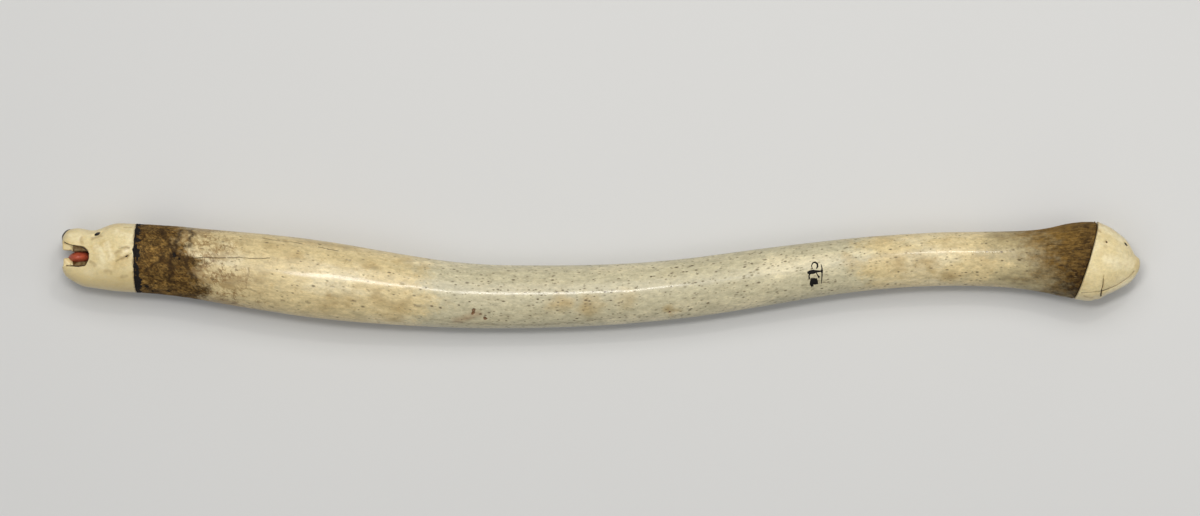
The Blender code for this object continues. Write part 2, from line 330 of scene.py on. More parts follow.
def fibre_group():
    """Worn fossil grain: short dark fibres along the bone with light ones between."""
    board, start, end = new_group("fibre_grain", ("Fibre", "Fleck"), Width=0.0008, Length=0.008)
    squeeze = board.math("DIVIDE", start["Width"], start["Length"])
    place = board.drawn_out(start["Place"], squeeze, "MULTIPLY")
    per_width = board.math("DIVIDE", 1.0, start["Width"])
    strands = board.noise(place, board.times(per_width, 0.7), 3.0, 0.6, 0.4)
    board.feed(end["Fibre"], board.between(strands, 0.34, 0.66))
    board.feed(end["Fleck"], board.between(board.noise(place, per_width, 2.0, 0.5), 0.58, 0.70))
    return board.tree


def web_group():
    """A broken web of dark veins, as where roots and minerals stained the bone."""
    board, start, end = new_group("vein_web", ("Mask",), Size=0.005, Width=0.0003, Bend=0.004)
    per_size = board.math("DIVIDE", 1.0, start["Size"])
    push = board.noise(start["Place"], per_size, 4.0, 0.6, output="Color")
    push = board.vector("SUBTRACT", push, (0.5, 0.5, 0.5))
    moved = board.vector("ADD", start["Place"], board.vector("MULTIPLY", push, start["Bend"]))
    cells = board.cells(moved, per_size, "DISTANCE_TO_EDGE")
    edge = board.times(cells["Distance"], start["Size"])
    line = board.until(edge, board.times(start["Width"], 0.3), start["Width"])
    kept = board.between(board.noise(start["Place"], board.times(per_size, 0.8), 3.0), 0.44, 0.58)
    board.feed(end["Mask"], board.times(line, kept))
    return board.tree


def finish(name):
    """A new material, its board, its shader and the place of a surface point."""
    material = bpy.data.materials.new(name)
    material.use_nodes = True
    board = Board(material.node_tree)
    shader = material.node_tree.nodes["Principled BSDF"]
    place = board.add("ShaderNodeTexCoord").outputs["Object"]
    return material, board, shader, place


def ink_finish(name, colour, roughness):
    """Rubbed pigment, a little worn and uneven."""
    material, board, shader, place = finish(name)
    wear = board.noise(place, 1100, 4.0, 0.6)
    worn = tuple(2.2 * channel + 0.003 for channel in colour)
    board.fill(shader, Base_Color=board.blend(board.between(wear, 0.52, 0.75), colour, worn),
               Roughness=board.times(wear, 0.25, roughness - 0.1), Specular_IOR_Level=0.2,
               Normal=board.bump(wear, 0.0001, 0.4))
    return material


# Modelling helpers

JOINT_LEFT = -0.2449             # the bear's joint face
RIGHT_JOINT = (0.2560, 0.0073)   # the middle of the seal's leaning joint face, in X and Y
JOINT_LEAN = math.radians(16.9)
RIM_REACH = 0.0016               # the skins are brought back to the solids this near the joints
CREASE_ANGLE = 50                # sharper edges of a solid stay edges of its skin
SHELTER_RAYS = 14
RAY_START = 0.00015              # rays start this far off the skin
INK_SPREAD = 1.15                # a sunk stroke shows a little less than its full width
INK_SINK = 0.5
EYE_SINK = 0.35
INK_FLATTEN = 0.75
INK_STEP = 0.4                   # pixels from one point of a stroke to the next


def select_only(piece):
    for other in bpy.context.view_layer.objects:
        other.select_set(other == piece)
    bpy.context.view_layer.objects.active = piece


def apply_modifier(piece, kind, **settings):
    select_only(piece)
    modifier = piece.modifiers.new(kind.lower(), kind)
    for name, value in settings.items():
        setattr(modifier, name, value)
    bpy.ops.object.modifier_apply(modifier=modifier.name)


@contextmanager
def editing(piece, choice, kind="FACE"):
    """Edit mode on a piece with all or nothing selected, and object mode again at the end."""
    select_only(piece)
    bpy.ops.object.mode_set(mode="EDIT")
    bpy.ops.mesh.select_mode(type=kind)
    bpy.ops.mesh.select_all(action=choice)
    yield
    bpy.ops.object.mode_set(mode="OBJECT")


def smooth_skin(node, name, voxel, passes, sharp_angle=CREASE_ANGLE):
    """A fine even skin over a solid of the frame: facets smoothed, real edges kept."""
    mesh = frame["nodes"][node].data.copy()
    mesh.name = name
    mesh.materials.clear()
    piece = new_object(name, mesh)
    select_only(piece)
    bpy.ops.mesh.customdata_custom_splitnormals_clear()
    with editing(piece, "SELECT", "VERT"):
        bpy.ops.mesh.remove_doubles(threshold=1e-6)
    with editing(piece, "DESELECT", "EDGE"):
        bpy.ops.mesh.edges_select_sharp(sharpness=math.radians(sharp_angle))
        bpy.ops.transform.edge_crease(value=1.0)
    apply_modifier(piece, "SUBSURF", levels=1, render_levels=1)
    apply_modifier(piece, "REMESH", mode="VOXEL", voxel_size=voxel, use_smooth_shade=True)
    apply_modifier(piece, "SMOOTH", factor=0.5, iterations=passes)
    return piece


def numbers(items, name, width=3, kind=float):
    """One property of many parts of a mesh, as rows of numbers."""
    values = np.empty(len(items) * width, dtype=kind)
    items.foreach_get(name, values)
    return values.reshape(-1, width) if width > 1 else values


def corners(mesh):
    return numbers(mesh.vertices, "co")


def outward(mesh):
    return numbers(mesh.vertices, "normal")


def put_corners(piece, places):
    piece.data.vertices.foreach_set("co", places.ravel())
    piece.data.update()
    piece.data.shade_smooth()


def soft_step(value, low, high):
    share = np.clip((value - low) / (high - low), 0, 1)
    return share * share * (3 - 2 * share)


def cloud(places, size, seed, octaves=3):
    """Smooth noise between about -1 and 1 at every place."""
    offset = Vector((seed * 7.31, seed * 3.17, seed * 5.93))
    return np.array([noise.fractal(Vector(place) / size + offset, 1.0, 2.0, octaves) for place in places])


def drifting(places, size, reach, seed):
    """A push for every place, for marks with living edges."""
    return reach * np.stack([cloud(places, size, seed + step) for step in range(3)], axis=1)


def to_line(places, line):
    """The distance of every place from a chain of points."""
    nearest = np.full(len(places), 1e9)
    for first, second in zip(line, line[1:]):
        first, run = np.array(first), np.array(second) - np.array(first)
        share = np.clip((places - first) @ run / max(run @ run, 1e-12), 0, 1)
        nearest = np.minimum(nearest, np.linalg.norm(places - first - share[:, None] * run, axis=1))
    return nearest


def nearest_of(places, chains):
    return np.min([to_line(places, chain) for chain in chains], axis=0)


def surface_of(piece):
    return BVHTree.FromObject(piece, bpy.context.evaluated_depsgraph_get())


def refine(piece, wanted, cuts):
    """Splits the faces whose centres answer to a test, so that small marks can be modelled there."""
    mesh = piece.data
    with editing(piece, "DESELECT"):
        bpy.ops.object.mode_set(mode="OBJECT")
        mesh.polygons.foreach_set("select", wanted(numbers(mesh.polygons, "center")))
        bpy.ops.object.mode_set(mode="EDIT")
        bpy.ops.mesh.subdivide(number_cuts=cuts)


def past_right_joint(places):
    """How far every place lies past the seal's leaning joint face, along X."""
    return places[:, 0] - RIGHT_JOINT[0] - math.tan(JOINT_LEAN) * (places[:, 1] - RIGHT_JOINT[1])


def sharpen_rims(piece, node):
    """Brings the skin by the joints back to the solid's own sharp rims."""
    places = corners(piece.data)
    near = np.abs(places[:, 0] - JOINT_LEFT) < RIM_REACH
    near |= np.abs(past_right_joint(places)) < RIM_REACH
    group = piece.vertex_groups.new(name="rims")
    group.add([int(index) for index in np.nonzero(near)[0]], 1.0, "REPLACE")
    apply_modifier(piece, "SHRINKWRAP", target=frame["nodes"][node], vertex_group="rims")
    piece.vertex_groups.remove(piece.vertex_groups["rims"])


def under(surface, place):
    """The point of the surface straight below a place, on the cheek that lies on the table."""
    found, normal, _, _ = surface.ray_cast(Vector((place.x, place.y, -0.05)), Vector((0, 0, 1)))
    if found is None:
        found, normal, _, _ = surface.find_nearest(Vector((place.x, place.y, 0)))
    return found, normal


def seen_chains(surface, lines):
    """Lines given by pixels, as chains of places on the surface."""
    return [[seen_at(surface, pixel)[0] for pixel in line] for line in lines]


def both_cheeks(surface, *lines):
    """Lines given by pixels, as chains of places on each cheek."""
    tops = seen_chains(surface, lines)
    return tops + [[under(surface, place)[0] for place in chain] for chain in tops]


def carve(places, normals, chains, width, depth):
    """Sinks a rounded groove along each chain."""
    for chain in chains:
        share = np.clip(1 - (to_line(places, chain) / width) ** 2, 0, 1)
        places -= normals * (depth * share ** 1.5)[:, None]


def raise_ridge(places, normals, chains, width, height):
    for chain in chains:
        places += normals * (height * np.exp(-(to_line(places, chain) / width) ** 2))[:, None]


def shelter(piece, reach):
    """How closed in each corner of the mesh is: the share of short rays that meet the piece."""
    surface = surface_of(piece)
    places, normals = corners(piece.data), outward(piece.data)
    golden = math.pi * (3 - math.sqrt(5))
    rays = []
    for index in range(SHELTER_RAYS):
        rise = 1 - (index + 0.5) / SHELTER_RAYS * 0.9
        ring = math.sqrt(1 - rise * rise)
        rays.append((ring * math.cos(index * golden), ring * math.sin(index * golden), rise))
    closed = np.zeros(len(places))
    for index, (place, normal) in enumerate(zip(places, normals)):
        out = Vector(normal)
        side = out.orthogonal().normalized()
        other = out.cross(side)
        start = Vector(place) + out * RAY_START
        for a, b, c in rays:
            if surface.ray_cast(start, side * a + other * b + out * c, reach)[0] is not None:
                closed[index] += 1
    return closed / SHELTER_RAYS


def store(mesh, name, values, kind="FLOAT", label="value"):
    layer = mesh.attributes.new(name, kind, "POINT")
    layer.data.foreach_set(label, values.astype(np.float32).ravel())


def line_share(places, chains, width):
    """How strongly each place is marked by lines, from 1 on a line to 0 at its width."""
    return soft_step(1 - nearest_of(places, chains) / width, 0, 1)


def mark(mesh, name, chains, width, drift):
    store(mesh, name, line_share(corners(mesh) + drift, chains, width))


def mark_spots(mesh, name, surface, spots, spread, drift):
    """Stores round marks the same way, each from its own pixel and radius."""
    places = corners(mesh) + drift
    strength = []
    for pixel, radius in spots:
        away = np.linalg.norm(places - np.array(seen_at(surface, pixel)[0]), axis=1)
        strength.append(1 - away / (radius * spread))
    store(mesh, name, soft_step(np.max(strength, axis=0), 0, 1))


def ink_strokes(name, surface, chains, both=False):
    """Drawn lines as thin raised ink: each chain is a list of pixel x, pixel y and width in pixels."""
    data = bpy.data.curves.new(name, "CURVE")
    data.dimensions = "3D"
    data.bevel_depth = PIXEL / 2
    data.bevel_resolution = 3
    data.use_fill_caps = True
    for chain in chains:
        knots = np.array(chain)
        run = np.concatenate([[0], np.cumsum(np.linalg.norm(np.diff(knots[:, :2], axis=0), axis=1))])
        steps = np.linspace(0, run[-1], max(3, int(run[-1] / INK_STEP)))
        x, y, width = [np.interp(steps, run, knots[:, column]) for column in range(3)]
        seen = [seen_at(surface, pixel) for pixel in zip(x, y)]
        sheets = [seen] + ([[under(surface, place) for place, _ in seen]] if both else [])
        for sheet in sheets:
            spline = data.splines.new("POLY")
            spline.points.add(len(sheet) - 1)
            for point, (place, normal), radius in zip(spline.points, sheet, width * INK_SPREAD):
                point.co = (*(place - normal * (INK_SINK * radius * PIXEL / 2)), 1)
                point.radius = radius
    select_only(new_object(name, data))
    bpy.ops.object.convert(target="MESH")
    piece = bpy.context.object
    places = corners(piece.data)
    for index, place in enumerate(places):
        near, normal, _, _ = surface.find_nearest(Vector(place))
        rise = (Vector(place) - near).dot(normal)
        if rise > 0:
            places[index] -= np.array(normal) * rise * INK_FLATTEN
    put_corners(piece, places)
    return piece


def ball(name, segments, rings):
    bpy.ops.mesh.primitive_uv_sphere_add(segments=segments, ring_count=rings, radius=1)
    bpy.context.object.name = name
    return bpy.context.object


def jewel(name, surface, tilt, half):
    """A raised almond, such as an eye, lying in the surface with its tilt across the cheek."""
    place, normal = surface
    almond = ball(name, 32, 16)
    places = corners(almond.data)
    places[:, 1] *= 1 - 0.45 * np.abs(places[:, 0]) ** 1.6
    turn = math.radians(tilt)
    along = Vector((math.cos(turn), math.sin(turn), 0))
    along = (along - normal * along.dot(normal)).normalized()
    basis = np.array([along, normal.cross(along), normal])
    put_corners(almond, (places * np.array(half)) @ basis + np.array(place - normal * half[2] * EYE_SINK))
    return almond


def add_jewels(name, skin, shape, material, node_slot):
    """The same small almond on both cheeks, as one piece."""
    pixel, tilt, half = shape
    seen = seen_at(skin, pixel)
    first, second = [jewel(name, surface, tilt, half) for surface in (seen, under(skin, seen[0]))]
    select_only(first)
    second.select_set(True)
    bpy.ops.object.join()
    first.name = name
    dress(first, material, node_slot)


def dress(piece, material, node_slot, *replaced):
    piece.data.materials.clear()
    piece.data.materials.append(material)
    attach(piece, "root")
    if replaced:
        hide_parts(*replaced)


# The bone

BONE_VOXEL = 0.00119
SLICES = 70
LEAN_MARGIN = 0.014              # the leaning right end is left out of the middle line
STREAK_SLANT = 0.95              # turn of the stained end's streaks across the bone
ROUGH_LEFT = -0.205              # the stained left end reaches to about here
ROUGH_RIGHT = 0.222
ROUGH_LEAN = 0.37                # how much the left end's edge leans across the bone
ROUGH_FADE = 0.020
MARK_REACH = 0.0022              # the skin is split finer this near a crack or a pit
SWELL_RISE = 0.00020
GRAIN_RISE = 0.00013
CHIP_DEPTH = 0.0008
CRACK_WIDTH = 0.00045
CRACK_DEPTH = 0.00020
PIT_DEPTH = 0.00045

# Zones along the bone: X where each soft edge begins and ends
WARM_LEFT_END = (-0.105, -0.080)
WARM_RIGHT = ((0.125, 0.150), (0.200, 0.216))
NECK_START = (0.196, 0.214)
FADE_END = (-0.204, -0.172)
BROWN_LEFT_END = (-0.2205, -0.2085)
BROWN_RIGHT_START = (0.204, 0.246)
PORE_ZONE = ((-0.115, -0.060), (0.200, 0.225))
HANDLED = ((-0.178, -0.152), (0.026, 0.052))
RIGHT_GLOSS = ((0.140, 0.165), (0.200, 0.225))

# Pores in three sizes: spacing, stretch, size, darkness and shift
PORE_LAYERS = (
    (0.0014, 1.9, 0.46, 0.75, (0.0, 0.0, 0.0)),
    (0.0023, 2.0, 0.33, 0.95, (0.31, 0.17, 0.05)),
    (0.0044, 1.9, 0.180, 1.00, (0.11, 0.47, 0.25)),
)

# Marks on the bone, by the pixel of the photograph
LONG_CRACKS = (
    ((190, 258.5), (204, 257.5), (222, 258), (240, 257.5), (256, 258.5), (270, 258)),
    ((262, 238), (276, 240.5), (290, 241.5), (303, 244)),
    ((318, 247), (338, 251)),
    ((1047, 244), (1058, 244.7), (1069, 244.4)), ((1068, 258), (1076, 257.7), (1083, 257)),
)
SHORT_CRACKS = (
    ((221, 264), (224, 265.5)), ((251, 289), (256, 292)), ((306, 301.5), (310, 303)),
    ((269, 306.5), (273, 307)), ((246, 302.5), (250, 303.5)), ((346, 259.5), (351, 261)),
    ((366, 289.5), (369, 290.5)), ((248, 268), (249, 272)), ((204, 298), (208, 299.5)),
    ((231, 303), (236, 304)), ((297, 305.5), (300, 306)), ((281, 300), (285, 300.5)),
    ((330, 286), (334, 287)), ((352, 300), (356, 301)), ((400, 283), (404, 284)), ((415, 305), (420, 306)),
)
LOW_SEAM = ((430, 319), (480, 324), (540, 325), (600, 319.5))
DARK_VEINS = (
    ((162, 230), (165, 237), (170, 245), (173.5, 252), (179, 257), (185, 260)),
    ((180, 231), (178, 238), (175, 246), (173.5, 252), (170, 263), (171, 274), (170, 288)),
    ((147, 270), (156, 264), (163, 257)), ((188, 226), (192, 234), (190, 243)),
    ((196, 280), (188, 268), (184, 258)),
)
DARK_SPOTS = (((174.5, 255.5), 0.0013), ((179, 259), 0.0009), ((147, 286), 0.0012),
              ((155.5, 283.5), 0.0007), ((169, 291), 0.0008), ((152, 291), 0.0007))
RUST_PITS = (((473.5, 309.5), 0.0011), ((473.8, 312.5), 0.0010), ((484.5, 318), 0.0009), ((670, 312), 0.0008))
RUST_STAIN = ((456, 321), (466, 318), (478, 314))
TAN_PATCHES = (
    ((330, 306), 0.0055), ((345, 303), 0.0040), ((378, 299), 0.0060), ((395, 310), 0.0080),
    ((410, 301), 0.0040), ((405, 262), 0.0045), ((420, 266), 0.0045), ((288, 243), 0.0040),
    ((560, 304), 0.0060), ((590, 306), 0.0080), ((625, 303), 0.0070), ((672, 310), 0.0040),
    ((900, 268), 0.0070), ((925, 268), 0.0080), ((948, 274), 0.0070), ((940, 240), 0.0040),
    ((880, 240), 0.0050), ((850, 262), 0.0060), ((265, 243), 0.0050), ((296, 255), 0.0050),
    ((370, 263), 0.0055), ((352, 297), 0.0055), ((334, 298), 0.0040), ((872, 232), 0.0040),
)


def middle_line(places):
    """The curved middle of the bone, as the X, Y and Z of the middles of its slices."""
    edges = np.linspace(places[:, 0].min(), places[:, 0].max() - LEAN_MARGIN, SLICES + 1)
    middles = []
    for start, end in zip(edges, edges[1:]):
        ring = places[(places[:, 0] >= start) & (places[:, 0] < end)]
        middles.append(((start + end) / 2, *((ring[:, 1:].min(axis=0) + ring[:, 1:].max(axis=0)) / 2)))
    return np.array(middles).T


def straighten(places, middle):
    """The places as they would lie if the bone's middle line were the X axis."""
    along, across, height = middle
    bend = [np.interp(places[:, 0], along, row) for row in (across, height)]
    return np.stack([places[:, 0], places[:, 1] - bend[0], places[:, 2] - bend[1]], axis=1)


def lay_out_bone(mesh, straight):
    """A flat map of the bone in two rows, left half and right half, for even detail."""
    low, high = straight[:, 0].min(), straight[:, 0].max()
    along = (straight[:, 0] - low) / (high - low) * 2
    turn = np.arctan2(straight[:, 1], -straight[:, 2]) / math.tau
    corner_of = numbers(mesh.loops, "vertex_index", 1, np.int32)
    starts = numbers(mesh.polygons, "loop_start", 1, np.int32)
    totals = numbers(mesh.polygons, "loop_total", 1, np.int32)
    first = corner_of[np.repeat(starts, totals)]
    row = np.floor(np.clip(along[first], 0, 1.999))
    u = along[corner_of] - row
    v = turn[corner_of]
    v -= np.round(v - turn[first])
    layer = mesh.uv_layers.new(name="OFBake")
    values = np.stack([0.01 + 0.98 * u, (row + 0.5 + 0.94 * v) / 2], axis=1)
    layer.data.foreach_set("uv", values.astype(np.float32).ravel())


def wear_bone(places, normals, straight, cracks, pits):
    """Pushes the skin out and in: swelling, worn ends, grain, a chipped rim, cracks and pits."""
    leaning = places[:, 0] + ROUGH_LEAN * straight[:, 1]
    rough_left = 1 - soft_step(leaning, ROUGH_LEFT - ROUGH_FADE, ROUGH_LEFT)
    rough_right = soft_step(places[:, 0], ROUGH_RIGHT, ROUGH_RIGHT + 0.022)
    left = places[:, 0].min()
    rim = 1 - soft_step(places[:, 0], left + 0.0006, left + 0.0030)
    push = SWELL_RISE * cloud(straight * np.array([0.35, 1, 1]), 0.016, 1, 2)
    push += SWELL_RISE * cloud(straight * np.array([0.6, 1, 1]), 0.0038, 2) * rough_left
    grain = cloud(straight * np.array([0.22, 1, 1]), 0.0011, 3, 2)
    push += grain * GRAIN_RISE * np.maximum(rough_right, 0.6 * rough_left)
    push -= CHIP_DEPTH * np.maximum(cloud(straight, 0.0030, 5, 2), 0) * rim
    for chain in cracks:
        push -= CRACK_DEPTH * np.clip(1 - to_line(places, chain) / CRACK_WIDTH, 0, 1)
    for centre, radius in pits:
        away = np.linalg.norm(places - np.array(centre), axis=1)
        push -= PIT_DEPTH * np.clip(1 - (away / (radius * 0.9)) ** 2, 0, 1)
    places += normals * (push * soft_step(places[:, 2], 0.0002, 0.0025))[:, None]
    places[:, 2] = np.maximum(places[:, 2], 0)


def add_bone():
    piece = smooth_skin("fossil_oosik_shaft", "fossil_bone", BONE_VOXEL, 5)
    refine(piece, lambda centres: (centres[:, 0] < ROUGH_LEFT + 0.008) | (centres[:, 0] > ROUGH_RIGHT), 1)
    skin = surface_of(piece)
    cracks = seen_chains(skin, LONG_CRACKS + SHORT_CRACKS)
    pits = [(seen_at(skin, pixel)[0], radius) for pixel, radius in RUST_PITS + DARK_SPOTS]
    spots_only = [[place, place] for place, _ in pits]
    refine(piece, lambda centres: nearest_of(centres, cracks + spots_only) < MARK_REACH, 2)
    sharpen_rims(piece, "fossil_oosik_shaft")

    mesh = piece.data
    places = corners(mesh)
    middle = middle_line(places)
    wear_bone(places, outward(mesh), straighten(places, middle), cracks, pits)
    put_corners(piece, places)
    straight = straighten(places, middle)
    store(mesh, "straight", straight, "FLOAT_VECTOR", "vector")
    lay_out_bone(mesh, straight)
    skin = surface_of(piece)
    wide, narrow = drifting(places, 0.009, 0.0045, 20), drifting(places, 0.0030, 0.0008, 30)
    for label, lines, width, drift in (
            ("cracks", LONG_CRACKS, CRACK_WIDTH, 0.3), ("dashes", SHORT_CRACKS, 0.0008, 0.8),
            ("veins", DARK_VEINS, 0.0021, 1.7), ("seam", (LOW_SEAM,), 0.0011, 1.0),
            ("stain", (RUST_STAIN,), 0.0034, 1.0)):
        mark(mesh, label, seen_chains(skin, lines), width, narrow * drift)
    mark_spots(mesh, "tanned", skin, TAN_PATCHES, 1.4, wide)
    mark_spots(mesh, "black", skin, DARK_SPOTS, 1.5, narrow)
    mark_spots(mesh, "rust", skin, RUST_PITS, 1.7, narrow * 1.1)
    dress(piece, bone_finish(), "fossil_bone", "fossil_oosik_shaft")
    return piece


def cream_bone(board, straight, torn, tones, patches, marks):
    """The cream and grey-cream middle of the bone with its tan clouds, and where it is warm."""
    warm_right = board.span(torn, *WARM_RIGHT)
    warm = board.highest(board.until(torn, *WARM_LEFT_END), warm_right)
    body = board.coated(
        board.blend(warm, GREY_CREAM, CREAM),
        (board.between(tones["Broad"], 0.02, 0.20), 0.7, LIGHT_CREAM),
        (board.between(tones["Broad"], -0.02, -0.16), board.times(warm, 0.62, 0.14), WARM_TAN),
        (board.between(patches["Broad"], 0.04, 0.20), 0.35, GREY_STAIN),
        (marks["tanned"], board.between(patches["Broad"], -0.15, 0.12, 0.50, 1.0), WARM_TAN))
    specks = board.between(board.noise(straight, 420, 4.0, 0.6), 0.56, 0.70)
    body = board.coated(body, (board.times(specks, warm), 0.45, SPECK_TAN),
                        (board.between(torn, *NECK_START), 0.60, NECK_TAN))
    return body, warm_right


def left_brown(board, straight, patches, streaks):
    """The dark mottled stain of the left end with its veins, and its blotches."""
    blotch = board.noise(board.vector("MULTIPLY", straight, (0.8, 1, 1)), 260, 6.0, 0.70)
    mixed = board.times(streaks, 0.16, board.plus(blotch, -0.08))
    tone = board.blend(board.until(mixed, 0.36, 0.62), *LEFT_BROWNS)
    tone = board.shaded(tone, board.between(patches["Small"], -0.20, 0.20, 0.55, 1.40))
    tone = board.shaded(tone, board.between(patches["Broad"], -0.15, 0.15, 0.78, 1.25))
    web = board.group("web", Place=straight, Size=0.0030, Width=0.00038, Bend=0.006)["Mask"]
    return board.blend(board.times(web, 0.65), tone, VEIN_BROWN), blotch


def right_brown(board, straight):
    """The fibrous stain of the right end, lighter on its upper side, and the share of its light grain."""
    x, y, _ = board.split(straight)
    grain = board.group("fibre", Place=straight, Width=0.00065, Length=0.0050)
    coarse_grain = board.group("fibre", Place=board.vector("ADD", straight, (0.7, 0.1, 0.4)),
                               Width=0.0019, Length=0.016)
    speckle = board.noise(board.vector("MULTIPLY", straight, (0.6, 1, 1)), 420, 6.0, 0.70)
    light = board.times(grain["Fibre"], 0.30, board.times(coarse_grain["Fibre"], 0.18))
    light = board.times(board.between(speckle, 0.38, 0.62), 0.52, light)
    side = board.times(y, 18.0, board.between(x, 0.235, 0.262, 0.10, -0.33))
    light = board.plus(light, side, clamp=True)
    tone = board.blend(light, *RIGHT_BROWNS)
    return board.blend(board.times(grain["Fleck"], 0.30), tone, FLECK_TAN), light


def bone_finish():
    material, board, shader, _ = finish("polished_fossil_bone")
    straight = board.add("ShaderNodeAttribute", attribute_name="straight").outputs["Vector"]
    x, y, _ = board.split(straight)
    tones = board.group("mottle", Place=straight, Coarse=0.022, Fine=0.0022, Stretch=2.4)
    patches = board.group("mottle", Place=board.vector("ADD", straight, (0.4, 0.2, 0.3)),
                          Coarse=0.009, Fine=0.0009, Stretch=1.8)
    marks = board.marks("cracks", "dashes", "veins", "seam", "stain", "tanned", "black", "rust")
    far_edge = board.noise(board.vector("MULTIPLY", straight, (0.55, 1, 1)), 80, 5.0, 0.62)
    near_edge = board.times(board.minus(board.noise(straight, 330, 5.0, 0.7), 0.5), 0.030)
    ragged = board.times(board.minus(far_edge, 0.5), 0.060, near_edge)
    torn = board.plus(x, ragged)
    torn_left = board.times(ragged, 0.60, board.times(y, 0.40, x))
    body, warm_right = cream_bone(board, straight, torn, tones, patches, marks)

    slanted = board.add("ShaderNodeVectorRotate", rotation_type="Z_AXIS")
    place = board.fill(slanted, Vector=straight, Angle=STREAK_SLANT)[0]
    streaks = board.group("fibre", Place=place, Width=0.00075, Length=0.0042)["Fibre"]
    fade = board.until(torn_left, *FADE_END)
    streaky = board.plus(patches["Broad"], board.times(streaks, 0.12, -0.06))
    fade_web = board.group("web", Place=straight, Size=0.0036, Width=0.00055, Bend=0.007)["Mask"]
    brown_left = board.until(board.times(patches["Broad"], 0.030, torn_left), *BROWN_LEFT_END)
    brown_right = board.between(board.times(y, 0.45, torn), *BROWN_RIGHT_START)
    left_tone, blotch = left_brown(board, straight, patches, streaks)
    right_tone, light = right_brown(board, straight)
    body = board.coated(
        body, (fade, board.between(streaky, -0.06, 0.07, 0.05, 0.80), FADED_BROWN),
        (board.times(fade_web, fade), 0.75, WEB_BROWN),
        (brown_left, 1.0, left_tone), (brown_right, 1.0, right_tone))
    body = board.shaded(body, board.times(tones["Small"], 1.0, 1.0))
    body = board.shaded(body, board.times(patches["Small"], 0.65, 1.0))

    thinned = board.times(board.span(torn, *PORE_ZONE), board.times(warm_right, -0.55, 1.0))
    share = board.times(thinned, 0.72, 0.20)
    holes = []
    for spacing, stretch, size, darkness, shift in PORE_LAYERS:
        layer = board.group("pores", Place=board.vector("ADD", straight, shift), Spacing=spacing,
                            Stretch=stretch, Size=size, Share=share)["Mask"]
        holes.append(board.times(layer, darkness))
        body = board.blend(holes[-1], body, PORE_BROWN)

    broken = board.between(tones["Small"], -0.12, 0.0, 0.35, 1.0)
    crack_mask = board.times(board.between(marks["cracks"], 0.20, 0.75), broken)
    rust_mask = board.between(marks["rust"], 0.10, 0.45)
    black_mask = board.between(marks["black"], 0.15, 0.45)
    vein_mask = board.times(marks["veins"], board.between(patches["Small"], -0.16, 0.06, 0.55, 1.0))
    body = board.coated(
        body, (marks["stain"], 0.35, RUST), (marks["seam"], 0.45, PORE_BROWN),
        (vein_mask, 0.90, VEIN_BROWN), (marks["dashes"], 0.60, PORE_BROWN),
        (crack_mask, 0.70, CRACK_BROWN), (black_mask, 0.95, INK), (rust_mask, 0.90, PIT_RUST))

    brown = board.highest(brown_left, brown_right)
    pore_mask = board.highest(*holes)
    rough = board.times(brown, 0.34, board.times(tones["Small"], 0.30, 0.38))
    handled = board.highest(board.span(x, *HANDLED), board.span(x, *RIGHT_GLOSS))
    polished = board.times(handled, board.between(tones["Small"], -0.2, 0.1, 0.18, 0.24))
    fibre = board.times(board.times(light, brown_right), 0.8)
    sunk = board.highest(pore_mask, crack_mask, rust_mask, black_mask)
    height = board.plus(board.minus(fibre, sunk), board.times(board.times(blotch, brown_left), 1.2))
    normal = board.bump(height, 0.00025, 0.8)
    board.fill(shader, Base_Color=body,
               Roughness=board.plus(rough, board.times(pore_mask, 0.3), clamp=True),
               Specular_IOR_Level=board.times(brown, -0.18, 0.30),
               Coat_Weight=board.times(board.minus(1.0, brown), 0.04, polished), Coat_Roughness=0.12,
               Subsurface_Weight=0.05, Subsurface_Radius=(1.0, 0.7, 0.4), Subsurface_Scale=0.002,
               Normal=board.bump(patches["Small"], 0.00012, 0.5, Normal=normal))
    return material


# The carved heads: each groove and hollow has a width and a depth

HEAD_VOXEL = 0.00032
HEAD_CREASE_ANGLE = 38
LINE_REACH = 0.0007              # the skin is split finer this near a carved line
BEAR_SHELTER = 0.006             # rays this long find the hollows that get painted shade and dirt
SEAL_SHELTER = 0.004
BEAR_STAIN_WIDTH = 0.0017
SEAL_STAIN_WIDTH = 0.0015
PALE_AND_HIGHLIGHT_WIDTH = 0.0034
TONGUE_ROOM = 1.12               # the skin keeps this much clear of the separate tongue
BEAR_LIP_CUT = (0.00055, 0.00030)
BEAR_FAINT_CUT = (0.00060, 0.00020)
BEAR_DIMPLE_CUT = (0.0016, 0.00035)
BEAR_SOCKET_CUT = (0.0017, 0.00040)
BEAR_BROW = (0.0007, 0.00022)
SEAL_MOUTH_CUT = (0.00055, 0.00035)
SEAL_LIP_RIDGE = (0.0012, 0.00025)
SEAL_NOSTRIL_CUT = (0.0015, 0.00035)
SEAL_SOCKET_CUT = (0.0013, 0.00030)
SEAL_NOTCH_CUT = (0.0018, 0.00045)

# Places on the bear's head, by the pixel of the photograph; eyes and holes have a tilt and half sizes
BEAR_EYE = ((97.3, 234.2), 23, (0.0023, 0.00085, 0.0007))
BEAR_EAR_PIT = ((126.6, 256.2), 22, (0.0011, 0.0006, 0.0004))
BEAR_NOSE = ((66.4, 235.6), 53, (0.0047, 0.0040, 0.0009))
NOSE_SINK = 0.00035
BEAR_TONGUE = ((79.9, 257.2), (0.0061, 0.0034, 0.0107))
BEAR_BROW_LINE = ((92.3, 234.6), (101.3, 231.2))
BEAR_SOCKET = ((93.3, 236.0), (101.3, 232.8))
BEAR_FAINT_GROOVES = (
    ((116, 261.3), (120, 259.3), (124.5, 257), (128, 255.5), (131, 253.5)),
    ((121, 247.5), (125, 246.7), (129, 248)),
    ((124, 227.5), (131, 227.5), (136, 228)),
)
BEAR_WHISKER_DIMPLE = ((80.5, 238), (81.8, 242.5))
